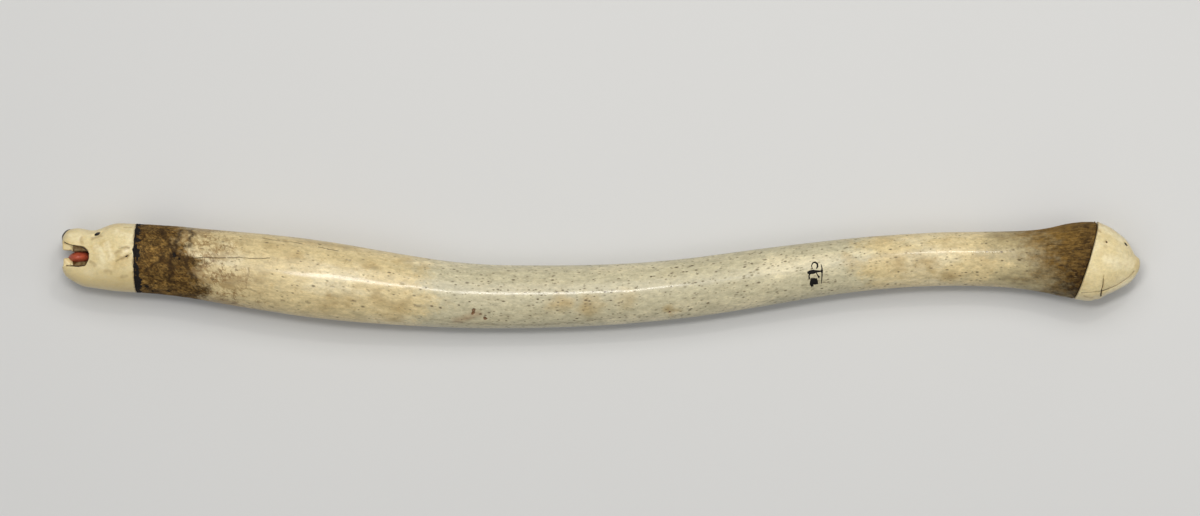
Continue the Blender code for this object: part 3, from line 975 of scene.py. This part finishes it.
BEAR_LIP_GROOVES = (
    ((64.5, 242.2), (68, 243.8), (72, 245), (76, 245.8), (82, 247), (86, 249.5), (88.8, 253.5),
     (88.5, 259), (85.5, 265)),
    ((66.5, 265.6), (72, 266), (78, 266.4), (85, 265.6)),
)
BEAR_MOUTH = ((72.5, 245.3), (76, 245.6), (82, 246.8), (86, 249.3), (88.9, 253.5), (88.8, 259), (85.6, 265.2),
              (78, 266.6), (72.5, 266.2))
BEAR_LIP_INK = (
    ((64.2, 241.9, 0.7), (67, 243.4, 1.1), (71, 244.8, 0.9), (75.5, 245.7, 0.8)),
    ((66.6, 265.7, 0.7), (71, 265.9, 0.9), (75, 266.3, 1.9), (79, 266.4, 1.0), (84.8, 265.6, 0.8)),
    ((81.5, 246.9, 0.8), (84.5, 248.2, 1.5), (87.2, 251, 0.9)),
)
# stains, and painted shade in the whisker dimple
BEAR_STAINS_AND_SHADE = (
    BEAR_WHISKER_DIMPLE, ((122, 258.5), (128, 255)), ((119, 248), (128, 248.5)), ((91, 262), (95, 266)),
    ((92, 238.5), (101, 236)), ((117, 252.5), (121, 251.5)), ((106, 271), (110, 272)),
    ((122, 277), (126, 276)),
)
# paler patches on the cheeks, and a painted highlight on the top of the muzzle
BEAR_PALE_AND_HIGHLIGHTS = (((70, 235), (77, 238)), ((107, 245), (112, 256)), ((116, 232), (130, 237)),
             ((98, 246), (103, 258)))


def head_skin(node, name, lines):
    """The carved solid as a fine skin, finest by its carved lines, with its joint rim kept sharp."""
    piece = smooth_skin(node, name, HEAD_VOXEL, 3, HEAD_CREASE_ANGLE)
    chains = both_cheeks(surface_of(piece), *lines)
    refine(piece, lambda centres: nearest_of(centres, chains) < LINE_REACH, 1)
    sharpen_rims(piece, node)
    return piece, surface_of(piece)


def mark_head(mesh, skin, stains, stain_width, pale_and_highlight, seed):
    drift = drifting(corners(mesh), 0.0040, 0.0009, seed)
    mark(mesh, "stain", both_cheeks(skin, *stains), stain_width, drift)
    mark(mesh, "pale_and_highlight", both_cheeks(skin, *pale_and_highlight), PALE_AND_HIGHLIGHT_WIDTH, drift * 2)


def head_finish(name, tan_share):
    """Old polished ivory, tanned in patches, with dirt and painted shade in its carved lines and hollows,
    paler patches and painted highlights, and painted shade inside the mouth.
    """
    material, board, shader, place = finish(name)
    tones = board.group("mottle", Place=place, Coarse=0.012, Fine=0.0016, Stretch=1.3)
    grain = board.group("mottle", Place=board.vector("ADD", place, (0.5, 0.3, 0.2)),
                        Coarse=0.004, Fine=0.0006, Stretch=2.0)
    body = board.coated(
        IVORY, (board.between(tones["Broad"], 0.0, 0.18), tan_share, IVORY_TAN),
        (board.between(tones["Broad"], -0.03, -0.2), 0.5, PALE_IVORY_AND_HIGHLIGHT),
        (board.between(grain["Broad"], 0.05, 0.22), 0.25, IVORY_TAN))
    body = board.shaded(body, board.times(tones["Small"], 0.60, 1.0))
    body = board.shaded(body, board.times(grain["Small"], 0.30, 1.0))
    marks = board.marks("pale_and_highlight", "stain", "groove", "sheltered", "mouth_shade", "tanned")
    cloudy = board.between(tones["Small"], -0.15, 0.15, 0.5, 1.0)
    # the closed-in hollows are painted darker: painted shade, with some dirt
    hollow_shade_and_grime = board.between(board.plus(marks["sheltered"], board.times(tones["Small"], 0.3)), 0.30, 0.80)
    # pale marks are paler ivory and painted highlights
    body = board.coated(
        body, (board.times(marks["tanned"], cloudy), 0.90, IVORY_TAN),
        (board.times(marks["pale_and_highlight"], cloudy), 0.80, PALE_IVORY_AND_HIGHLIGHT),
        (board.times(marks["stain"], cloudy), 0.65, IVORY_STAIN),
        (marks["groove"], 0.80, DIRT_AND_SHADE), (hollow_shade_and_grime, 0.75, DIRT_AND_SHADE), (marks["mouth_shade"], 1.0, MOUTH_SHADE_BROWN))
    polished = board.minus(1.0, marks["mouth_shade"], clamp=True)
    height = board.minus(board.times(grain["Small"], 0.6), marks["groove"])
    board.fill(shader, Base_Color=body, Roughness=board.times(tones["Small"], 0.3, 0.36),
               Specular_IOR_Level=board.times(polished, 0.4),
               Coat_Weight=board.times(polished, 0.15), Coat_Roughness=0.15,
               Subsurface_Weight=0.10, Subsurface_Radius=(1.0, 0.65, 0.35), Subsurface_Scale=0.003,
               Normal=board.bump(height, 0.0002, 0.6))
    return material


def add_bear_head():
    piece, skin = head_skin("bear_head", "carved_bear_head", BEAR_FAINT_GROOVES + BEAR_LIP_GROOVES)
    mesh = piece.data
    low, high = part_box("bear_head")
    middle = (low.z + high.z) / 2
    places, normals = corners(mesh), outward(mesh)
    places += normals * (0.00011 * cloud(places, 0.006, 4, 2))[:, None]
    for lines, cut in ((BEAR_LIP_GROOVES, BEAR_LIP_CUT), (BEAR_FAINT_GROOVES, BEAR_FAINT_CUT),
                       ((BEAR_WHISKER_DIMPLE,), BEAR_DIMPLE_CUT), ((BEAR_SOCKET,), BEAR_SOCKET_CUT)):
        carve(places, normals, both_cheeks(skin, *lines), *cut)
    raise_ridge(places, normals, both_cheeks(skin, BEAR_BROW_LINE), *BEAR_BROW)

    tongue_pixel, tongue_half = BEAR_TONGUE
    tongue = place_of(tongue_pixel, middle)
    inside = np.linalg.norm((places - np.array(tongue)) / (np.array(tongue_half) * TONGUE_ROOM), axis=1)
    places += (np.array(tongue) - places) * np.clip(1.2 - inside, 0, 0.25)[:, None]
    put_corners(piece, places)

    # how closed in each point is; the finish paints this darker as shade and dirt
    store(mesh, "sheltered", shelter(piece, BEAR_SHELTER))
    along = (high.x - places[:, 0]) / (high.x - low.x)
    above = (places[:, 1] - (high.y + low.y) / 2) / ((high.y - low.y) / 2)
    patchy = 0.10 * cloud(places, 0.0030, 16)
    upper = places.copy()
    upper[:, 2] = middle + np.abs(upper[:, 2] - middle)
    # the inside of the open mouth is painted dark brown as painted shade
    store(mesh, "mouth_shade", inside_outline(pixels_of(upper), BEAR_MOUTH) * (0.90 + 2.5 * patchy))
    # the lower part of the head is painted tan and darker, partly as painted shade; the back by the joint is
    # tanned
    jaw_tan_and_shade = (1 - soft_step(above + 0.8 * patchy, -0.75, 0.05)) * (0.75 + patchy)
    store(mesh, "tanned", np.maximum(jaw_tan_and_shade, 0.35 * soft_step(along, 0.55, 0.75)))
    skin = surface_of(piece)
    # the carved lines are painted darker as dirt and painted shade; the joint line is dark
    groove = line_share(places, both_cheeks(skin, *BEAR_LIP_GROOVES), 0.00050)
    groove = np.maximum(groove, 0.40 * line_share(places, both_cheeks(skin, *BEAR_FAINT_GROOVES), 0.00070))
    by_joint = JOINT_LEFT - places[:, 0] + 0.0005 * cloud(places, 0.0016, 14)
    store(mesh, "groove", np.maximum(groove, 0.9 * (1 - soft_step(by_joint, 0.0002, 0.0013))))
    mark_head(mesh, skin, BEAR_STAINS_AND_SHADE, BEAR_STAIN_WIDTH, BEAR_PALE_AND_HIGHLIGHTS, 40)
    dress(piece, head_finish("bear_ivory", 0.75), "bear_ivory", "bear_head")

    # the ear pits are dark brown almonds: painted shade and dirt of the pits
    eye_ink, pit_shade_brown = ink_finish("carving_ink", INK, 0.28), ink_finish("ear_pit_shade_brown", EAR_PIT_SHADE_BROWN, 0.6)
    add_jewels("bear_eyes", skin, BEAR_EYE, eye_ink, "bear_ivory")
    add_jewels("bear_ear_pit_shades", skin, BEAR_EAR_PIT, pit_shade_brown, "bear_ivory")
    lips = ink_strokes("bear_lip_lines", skin, BEAR_LIP_INK, both=True)
    dress(lips, ink_finish("lip_ink", LIP_BROWN, 0.5), "bear_ivory")
    dress(add_nose(skin, middle), ink_finish("nose_black", INK, 0.35), "bear_ivory")
    dress(add_tongue(tongue, tongue_half), tongue_finish(), "bear_ivory")
    return piece


def add_tongue(centre, half):
    """A rounded tongue with a furrow along its top, narrower and lower at its tip."""
    tongue = ball("bear_tongue", 48, 32)
    places = corners(tongue.data)
    tip = np.clip(-places[:, 0], 0, 1)
    top = np.clip(places[:, 1], 0, 1)
    places[:, 1] *= 1 - 0.30 * tip ** 2
    places[:, 2] *= 1 - 0.18 * tip ** 2
    places[:, 1] -= 0.22 * top * np.exp(-(places[:, 2] / 0.10) ** 2) * (1 - 0.5 * tip)
    places = places * np.array(half) + np.array(centre)
    places[:, 1] -= 0.0005 * tip
    places += 0.00010 * cloud(places, 0.0018, 6, 2)[:, None]
    put_corners(tongue, places)
    return tongue


def tongue_finish():
    material, board, shader, place = finish("tongue_red")
    tone = board.noise(place, 700, 5.0, 0.6)
    board.fill(shader, Base_Color=board.blend(board.between(tone, 0.35, 0.7), TONGUE_RED, TONGUE_SHADE),
               Roughness=board.times(tone, 0.3, 0.35), Normal=board.bump(tone, 0.00015, 0.5))
    return material


def add_nose(skin, middle):
    """A broad black nose pad on the front of the muzzle, with two nostrils."""
    pixel, tilt, half = BEAR_NOSE
    slope = math.radians(tilt)
    along = Vector((math.cos(slope), math.sin(slope), 0))
    out = Vector((-math.sin(slope), math.cos(slope), 0))
    across = along.cross(out)
    centre, _, _, _ = skin.ray_cast(place_of(pixel, middle) + out * 0.03, -out)
    nose = ball("bear_nose", 48, 32)
    places = corners(nose.data)
    places[:, 1] *= 1 + 0.28 * places[:, 0]
    for side in (-1, 1):
        from_nostril = (places - np.array([-0.10, 0.42 * side, 0.85])) / np.array([0.34, 0.20, 0.6])
        places[:, 2] -= 0.75 * np.clip(1 - np.linalg.norm(from_nostril, axis=1), 0, 1)
    places[:, 2] -= 0.30 * np.exp(-(places[:, 1] / 0.07) ** 2) * np.clip(places[:, 2], 0, 1)
    for index, (a, b, rise) in enumerate(places * np.array(half)):
        above = centre + along * a + across * b + out * 0.02
        under_pad = skin.ray_cast(above, -out)[0] or centre
        places[index] = under_pad + out * (rise - NOSE_SINK)
    put_corners(nose, places)
    return nose


# Places on the seal's head
SEAL_EYE = ((1125.2, 244.0), -38, (0.0017, 0.00075, 0.0006))
SEAL_EAR_HOLE = ((1106.3, 242.3), -5, (0.0014, 0.0009, 0.0004))
SEAL_MOUTH = ((1134, 271.8), (1131, 275.8), (1126, 279.5), (1120, 283), (1115, 285.8), (1110, 288),
              (1104, 290.3), (1096, 291.8), (1082, 293))
SEAL_LIP = ((1132, 279), (1121, 286), (1111, 291), (1103, 293.5))
SEAL_CRACK = ((1103.7, 276), (1103.6, 279), (1103, 285), (1101.6, 290), (1100.6, 296))
SEAL_NOSTRIL = ((1129.3, 247), (1131.5, 250.5))
SEAL_SOCKET = ((1122.5, 243), (1128, 246.5))
SEAL_NOTCH = ((1095.5, 297), (1094.5, 301))
SEAL_STAINS = (((1105, 242.4), (1107.6, 242.2)), ((1104.5, 246), (1105.5, 247)), ((1098, 230), (1100, 231)),
               ((1084, 296), (1094, 297)), ((1102.9, 281), (1101, 293)))
# painted highlights: the lit bands along the brow and the lower lip, and the lit muzzle
SEAL_HIGHLIGHTS = (((1101, 227), (1112, 233.5)), ((1112, 233.5), (1120, 240.5)), ((1114, 266), (1130, 262)),
             ((1124, 254), (1133, 264)), ((1116, 260), (1128, 268)), ((1106, 258), (1112, 262)),
             ((1132, 279.5), (1121, 286)), ((1121, 286), (1109, 292)))
SEAL_CRACK_INK = (
    ((1103.4, 278, 0.3), (1103, 284, 0.6), (1101.8, 289, 1.0), (1101.1, 292, 2.0), (1100.7, 295.8, 2.3)),
    ((1098, 291.6, 0.3), (1103, 290.6, 0.6), (1109, 288.4, 0.3)),
)


def add_seal_head():
    piece, skin = head_skin("seal_head", "carved_seal_head", (SEAL_MOUTH, SEAL_CRACK))
    mesh = piece.data
    places, normals = corners(mesh), outward(mesh)
    places += normals * (0.00010 * cloud(places, 0.006, 7, 2))[:, None]
    carve(places, normals, both_cheeks(skin, SEAL_MOUTH, SEAL_CRACK), *SEAL_MOUTH_CUT)
    raise_ridge(places, normals, both_cheeks(skin, SEAL_LIP), *SEAL_LIP_RIDGE)
    for line, cut in ((SEAL_NOSTRIL, SEAL_NOSTRIL_CUT), (SEAL_SOCKET, SEAL_SOCKET_CUT),
                      (SEAL_NOTCH, SEAL_NOTCH_CUT)):
        carve(places, normals, both_cheeks(skin, line), *cut)
    put_corners(piece, places)

    # how closed in each point is; the finish paints this darker as shade and dirt
    store(mesh, "sheltered", shelter(piece, SEAL_SHELTER))
    for label in ("mouth_shade", "tanned"):
        store(mesh, label, np.zeros(len(places)))
    skin = surface_of(piece)
    # the carved mouth and crack are painted darker as dirt and painted shade; the joint line is dark
    groove = 0.62 * line_share(places, both_cheeks(skin, SEAL_MOUTH), 0.00080)
    groove = np.maximum(groove, 0.40 * line_share(places, both_cheeks(skin, SEAL_CRACK), 0.00050))
    by_joint = past_right_joint(places) + 0.0003 * cloud(places, 0.0020, 15)
    store(mesh, "groove", np.maximum(groove, 0.6 * (1 - soft_step(by_joint, 0.0002, 0.0006))))
    mark_head(mesh, skin, SEAL_STAINS, SEAL_STAIN_WIDTH, SEAL_HIGHLIGHTS, 50)
    dress(piece, head_finish("seal_ivory", 0.6), "seal_ivory", "seal_head")

    # the ear holes are dark brown almonds: painted shade and dirt of the holes
    eye_ink, hole_shade_brown = ink_finish("seal_ink", INK, 0.28), ink_finish("ear_hole_shade_brown", HOLE_SHADE_AND_CRACK_BROWN, 0.6)
    add_jewels("seal_eyes", skin, SEAL_EYE, eye_ink, "seal_ivory")
    add_jewels("seal_ear_hole_shades", skin, SEAL_EAR_HOLE, hole_shade_brown, "seal_ivory")
    crack = ink_strokes("seal_drying_crack", skin, SEAL_CRACK_INK, both=True)
    dress(crack, ink_finish("crack_brown", HOLE_SHADE_AND_CRACK_BROWN, 0.7), "seal_ivory")


# The black filler of the left joint

FILLER_REACH = 0.0040
FILLER_ROWS = 34
FILLER_STEPS = 420
FILLER_SHIFT = 0.0017            # the band lies a little over the bone's side of the joint
FILLER_RISE = 0.00012
FILLER_WALL = 0.0008
FILLER_RAY = 0.05                # the rays that find the skins begin this far out
FILLER_CORE = 0.005              # and a hit this near the middle is an inside wall
JOINT_GAP = 0.0005               # rays this near the open joint are cast on both sides of it
GAP_STEP = 0.0007
FILLER_WIDTH = 0.0014            # half the width of the black line
FILLER_SWING = 0.0020            # how much that width changes along the joint
FILLER_LINE = 0.0012             # the line lies this far past the joint and wanders as much
FILLER_EDGE = 0.0008             # the raggedness of its edge


def around_joint(x, turn, radius, centre):
    return np.stack([x, centre[0] + radius * np.cos(turn), centre[1] + radius * np.sin(turn)], axis=1)


def add_joint_filler(bone, bear):
    """A ragged band of dark pitch over the joint, thin where it has broken away."""
    skins = [surface_of(bone), surface_of(bear)]
    low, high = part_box("bear_head")
    centre = ((low.y + high.y) / 2, (low.z + high.z) / 2)
    bpy.ops.mesh.primitive_grid_add(x_subdivisions=FILLER_ROWS, y_subdivisions=FILLER_STEPS, size=2)
    band = bpy.context.object
    band.name = "bear_joint_filler"
    places = corners(band.data)
    turn = (places[:, 1] + 1) * math.pi
    x = JOINT_LEFT + FILLER_SHIFT + places[:, 0] * FILLER_REACH
    radius = np.empty(len(places))
    for index, (along, angle) in enumerate(zip(x, turn)):
        out = Vector((0, math.cos(angle), math.sin(angle)))
        near_gap = abs(along - JOINT_LEFT) < JOINT_GAP
        reached = []
        for spot in (along - GAP_STEP, along + GAP_STEP) if near_gap else (along,):
            start = Vector((spot, *centre)) + out * FILLER_RAY
            hits = [skin.ray_cast(start, -out)[0] for skin in skins]
            depths = [(hit - start).length for hit in hits if hit is not None]
            reached += [FILLER_RAY - depth for depth in depths if depth < FILLER_RAY - FILLER_CORE]
        radius[index] = max(reached)
    around = around_joint(x, turn, radius, centre)
    flat = around * np.array([0.0, 1, 1])
    width = FILLER_WIDTH + FILLER_SWING * cloud(flat, 0.0036, 8, 4)
    width *= soft_step(cloud(flat, 0.005, 9, 2), -0.45, -0.15)
    line = JOINT_LEFT + FILLER_LINE + FILLER_LINE * cloud(flat, 0.005, 10)
    away = np.abs(x - line) + FILLER_EDGE * cloud(around, 0.0013, 11, 4)
    away += 2.5 * np.clip(JOINT_LEFT - 0.0003 - x, 0, None)
    lift = FILLER_RISE * np.clip(1.4 * (1 - away / np.maximum(width, 0.0002)), -2.5, 1)
    lift += 0.00006 * cloud(around, 0.0009, 12, 2) * (lift > 0)
    places = around_joint(x, turn, radius + lift, centre)
    places[:, 2] = np.maximum(places[:, 2], 0)
    put_corners(band, places)
    with editing(band, "SELECT", "VERT"):
        bpy.ops.mesh.remove_doubles(threshold=5e-6)
        bpy.ops.mesh.normals_make_consistent(inside=False)
    apply_modifier(band, "SOLIDIFY", thickness=FILLER_WALL, offset=-1)
    band.data.shade_smooth()
    dress(band, ink_finish("black_pitch", PITCH, 0.80), "bear_ivory")


# The engraved hunter: a hooded figure with a spear, in ink on the bone; x, y and width in pixels

HUNTER = (
    ((812.4, 268.8, 0.9), (811.5, 265.8, 1.0), (812.7, 263.0, 1.4), (815.0, 262.1, 1.8), (817.2, 263.8, 2.0),
     (817.6, 266.3, 1.9), (816.4, 268.8, 1.1)),
    ((807.2, 273.0, 2.4), (809.8, 272.4, 4.2), (814.0, 271.8, 4.6), (815.8, 271.5, 3.0), (821.6, 271.2, 1.4)),
    ((809.8, 273.6, 1.8), (809.0, 276.0, 1.3), (809.4, 278.8, 1.9)),
    ((816.2, 272.8, 1.0), (817.6, 275.2, 1.2), (819.2, 277.5, 2.4)),
    ((812.4, 278.2, 2.8), (811.8, 281.0, 3.6), (811.4, 283.8, 4.0), (812.6, 286.6, 2.6)),
    ((814.0, 278.0, 3.0), (813.9, 284.4, 4.2)),
    ((815.6, 278.2, 2.8), (816.0, 281.0, 3.6), (816.6, 284.2, 3.8)),
    ((821.0, 264.2, 0.7), (821.9, 267.5, 1.3), (822.1, 271.2, 1.5), (822.0, 276.0, 1.3), (821.5, 283.6, 0.7)),
    ((821.8, 269.6, 2.3), (821.9, 272.6, 2.3)),
)


def add_hunter(bone):
    figure = ink_strokes("engraved_hunter", surface_of(bone), HUNTER)
    dress(figure, ink_finish("engraving_ink", FIGURE_INK, 0.7), "fossil_bone")


# The stage: each light has its place, target, size, power and colour

LAMP_WHITE = (1.0, 0.98, 0.95)
LIGHTS = {
    "key_strip": ((-0.10, 0.26, 1.50), (0, 0, 0), (0.46, 0.17), 8.0, LAMP_WHITE),
    "soft_key": ((0.10, 0.80, 1.45), (0, 0, 0), (1.6, 0.8), 11.0, LAMP_WHITE),
    "right_glint": ((0.324, 0.79, 1.45), (0.17, 0, 0), (0.15, 0.06), 1.9, LAMP_WHITE),
    "muzzle_fill": ((0.64, -0.04, 0.42), (0.27, 0, 0.02), (0.26, 0.26), 0.42, LAMP_WHITE),
    "soft_fill": ((-0.5, -0.5, 1.5), (0, 0, 0), (1.0, 1.0), 3.5, (1, 1, 1)),
}
WORLD_COLOUR = (0.95, 0.97, 1.0, 1)
WORLD_STRENGTH = 0.26


def add_stage():
    bpy.ops.mesh.primitive_plane_add(size=8, location=(0, 0, 0))
    floor = bpy.context.object
    floor.name = "floor"
    material, board, shader, place = finish("pale_floor")
    tone = board.times(board.noise(place, 3.0, 2.0), 0.12)
    board.fill(shader, Base_Color=board.blend(tone, STAGE_PALE, STAGE_SHADE), Roughness=0.85)
    floor.data.materials.append(material)


def add_lights():
    for name, (place, target, size, power, colour) in LIGHTS.items():
        data = bpy.data.lights.new(name, "AREA")
        data.shape = "RECTANGLE"
        data.size, data.size_y = size
        data.energy = power
        data.color = colour
        light = new_object(name, data)
        light.location = place
        light.rotation_euler = (Vector(target) - Vector(place)).to_track_quat("-Z", "Y").to_euler()
    world = bpy.data.worlds.new("studio")
    world.use_nodes = True
    background = world.node_tree.nodes["Background"].inputs
    background["Color"].default_value = WORLD_COLOUR
    background["Strength"].default_value = WORLD_STRENGTH
    bpy.context.scene.world = world
    bpy.context.scene.view_settings.view_transform = "Standard"


def main():
    add_camera()
    add_lights()
    add_stage()
    groups.update(pores=pore_group(), mottle=mottle_group(), fibre=fibre_group(), web=web_group())
    bone = add_bone()
    bear = add_bear_head()
    add_seal_head()
    add_joint_filler(bone, bear)
    add_hunter(bone)


main()
